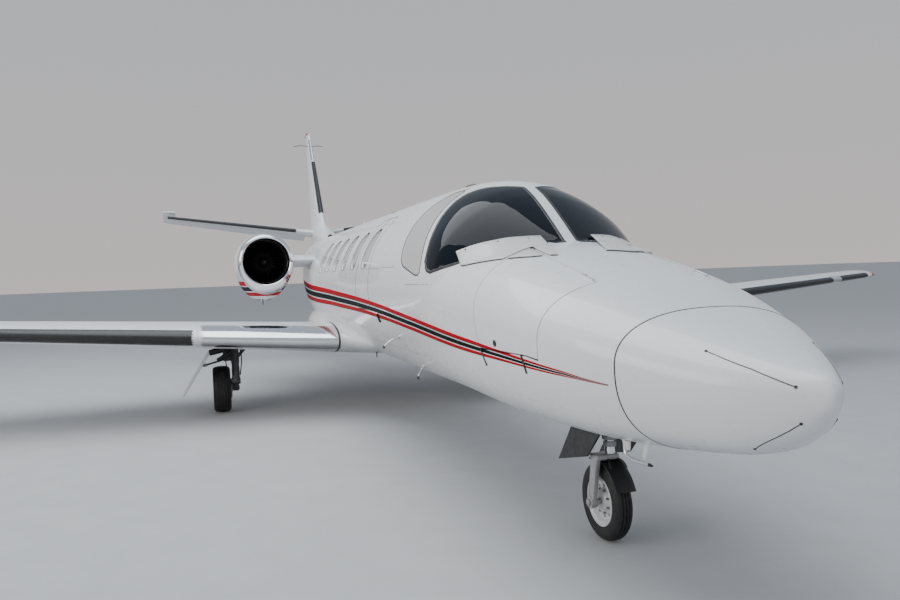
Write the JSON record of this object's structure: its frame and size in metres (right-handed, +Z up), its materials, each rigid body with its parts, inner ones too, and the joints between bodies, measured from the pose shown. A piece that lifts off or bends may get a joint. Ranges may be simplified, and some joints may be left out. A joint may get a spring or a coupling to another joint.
{
  "type": "business jet",
  "caption": "Light twin-engined business jet with straight wings, rear engines and a cruciform tail, parked on its landing gear.",
  "frame": {"origin": "on the ground, below the middle of the aircraft's length", "axes": "+X towards the nose, +Y to port along the span, +Z up"},
  "size_m": [14.39, 15.9, 4.57],
  "materials": {
    "white_paint": "glossy white paint",
    "tail_paint": "glossy white paint over thin sheet",
    "radome_paint": "glossy white paint over a plastic shell",
    "polished_metal": "mirror-polished metal",
    "glazing": "tinted transparent pane",
    "engine_metal": "bare metal",
    "gear_paint": "light grey gloss paint",
    "dark_paint": "dark satin paint",
    "tyre_rubber": "matt rubber",
    "leather": "upholstery leather",
    "carpet": "woven carpet",
    "instrument_black": "matt black"
  },
  "bodies": {
    "airframe": {"radome": "radome_paint", "nose_section": "white_paint", "cabin_shell": "white_paint", "escape_hatch": "white_paint", "windscreen_right": "glazing", "windscreen_left": "glazing", "side_window_right": "glazing", "side_window_left": "glazing", "cabin_glazing_right": "glazing", "cabin_glazing_left": "glazing", "cabin_floor": "carpet", "instrument_panel": "instrument_black", "crew_seat_right": "leather", "crew_seat_left": "leather", "cabin_seats_right": "leather", "cabin_seats_left": "leather", "wing_fairing": "white_paint", "wing_right": "white_paint", "wing_left": "white_paint", "tailcone": "tail_paint", "stabilizer_right": "tail_paint", "stabilizer_left": "tail_paint", "fin": "tail_paint", "inlet_lip_right": "polished_metal", "inlet_lip_left": "polished_metal", "nacelle_right": "white_paint", "nacelle_left": "white_paint", "engine_core_right": "engine_metal", "engine_core_left": "engine_metal", "pylon_right": "tail_paint", "pylon_left": "tail_paint", "nose_leg": "gear_paint", "nose_gear_door_right": "dark_paint", "nose_gear_door_left": "dark_paint", "main_gear_leg_right": "gear_paint", "main_gear_leg_left": "gear_paint", "main_gear_door_right": "white_paint", "main_gear_door_left": "white_paint"},
    "cabin_door": {"cabin_door": "white_paint"},
    "baggage_door_right": {"baggage_door_right": "white_paint"},
    "baggage_door_left": {"baggage_door_left": "white_paint"},
    "rudder": {"rudder": "tail_paint"},
    "elevator_right": {"elevator_right": "tail_paint"},
    "elevator_left": {"elevator_left": "tail_paint"},
    "aileron_right": {"aileron_right": "white_paint"},
    "aileron_left": {"aileron_left": "white_paint"},
    "flap_right": {"flap_right": "white_paint"},
    "flap_left": {"flap_left": "white_paint"},
    "nose_fork": {"nose_fork": "gear_paint"},
    "nose_wheel": {"nose_tyre": "tyre_rubber", "nose_rim": "gear_paint"},
    "main_wheel_right": {"main_tyre_right": "tyre_rubber", "main_rim_right": "gear_paint"},
    "main_wheel_left": {"main_tyre_left": "tyre_rubber", "main_rim_left": "gear_paint"},
    "fan_right": {"fan_right": "engine_metal"},
    "fan_left": {"fan_left": "engine_metal"}
  },
  "joints": [
    {"name": "cabin_door_hinge", "type": "hinge", "parent": "airframe", "child": "cabin_door", "pos_m": [3.635, 0.838, 1.47], "axis": [0, 0, -1], "range_deg": [0, 100]},
    {"name": "baggage_door_right_hinge", "type": "hinge", "parent": "airframe", "child": "baggage_door_right", "pos_m": [5.995, -0.3336, 1.52823], "axis": [-0.972, 0, 0.2348], "range_deg": [0, 80]},
    {"name": "baggage_door_left_hinge", "type": "hinge", "parent": "airframe", "child": "baggage_door_left", "pos_m": [5.995, 0.3336, 1.52823], "axis": [0.972, 0, -0.2348], "range_deg": [0, 80]},
    {"name": "rudder_hinge", "type": "hinge", "parent": "airframe", "child": "rudder", "pos_m": [-6.514, 0, 2.85], "axis": [-0.2822, 0, 0.9593], "range_deg": [-20, 20]},
    {"name": "elevator_right_hinge", "type": "hinge", "parent": "airframe", "child": "elevator_right", "pos_m": [-6.37958, -0.2, 2.47913], "axis": [0.073, 0.9883, -0.1341], "range_deg": [0, 33]},
    {"name": "elevator_left_hinge", "type": "hinge", "parent": "airframe", "child": "elevator_left", "pos_m": [-6.37958, 0.2, 2.47913], "axis": [-0.073, 0.9883, 0.1341], "range_deg": [0, 33]},
    {"name": "aileron_right_hinge", "type": "hinge", "parent": "airframe", "child": "aileron_right", "pos_m": [-0.92283, -4.64, 1.12502], "axis": [-0.0183, 0.9974, -0.0695], "range_deg": [-20, 20]},
    {"name": "aileron_left_hinge", "type": "hinge", "parent": "airframe", "child": "aileron_left", "pos_m": [-0.92283, 4.64, 1.12502], "axis": [0.0183, 0.9974, 0.0695], "range_deg": [-20, 20]},
    {"name": "flap_right_hinge", "type": "hinge", "parent": "airframe", "child": "flap_right", "pos_m": [-0.89161, -1.09, 0.85861], "axis": [0.0099, -0.9971, 0.0756], "range_deg": [0, 35]},
    {"name": "flap_left_hinge", "type": "hinge", "parent": "airframe", "child": "flap_left", "pos_m": [-0.89161, 1.09, 0.85861], "axis": [-0.0099, -0.9971, -0.0756], "range_deg": [0, 35]},
    {"name": "nose_steering", "type": "hinge", "parent": "airframe", "child": "nose_fork", "pos_m": [5.495, 0, 0.6], "axis": [0, 0, 1], "range_deg": [-20, 20]},
    {"name": "nose_wheel_spin", "type": "hinge", "parent": "nose_fork", "child": "nose_wheel", "pos_m": [5.438, 0, 0.2286], "axis": [0, 1, 0], "continuous": true},
    {"name": "main_wheel_right_spin", "type": "hinge", "parent": "airframe", "child": "main_wheel_right", "pos_m": [-0.345, -2.04, 0.2794], "axis": [0, 1, 0], "continuous": true},
    {"name": "main_wheel_left_spin", "type": "hinge", "parent": "airframe", "child": "main_wheel_left", "pos_m": [-0.345, 2.04, 0.2794], "axis": [0, 1, 0], "continuous": true},
    {"name": "fan_right_spin", "type": "hinge", "parent": "airframe", "child": "fan_right", "pos_m": [-1.43, -1.4, 1.83], "axis": [1, 0, 0], "continuous": true},
    {"name": "fan_left_spin", "type": "hinge", "parent": "airframe", "child": "fan_left", "pos_m": [-1.43, 1.4, 1.83], "axis": [1, 0, 0], "continuous": true}
  ],
  "couplings": [
    {"joint": "elevator_left_hinge", "follows": "elevator_right_hinge", "ratio": 1},
    {"joint": "flap_left_hinge", "follows": "flap_right_hinge", "ratio": 1},
    {"joint": "aileron_left_hinge", "follows": "aileron_right_hinge", "ratio": -1}
  ]
}
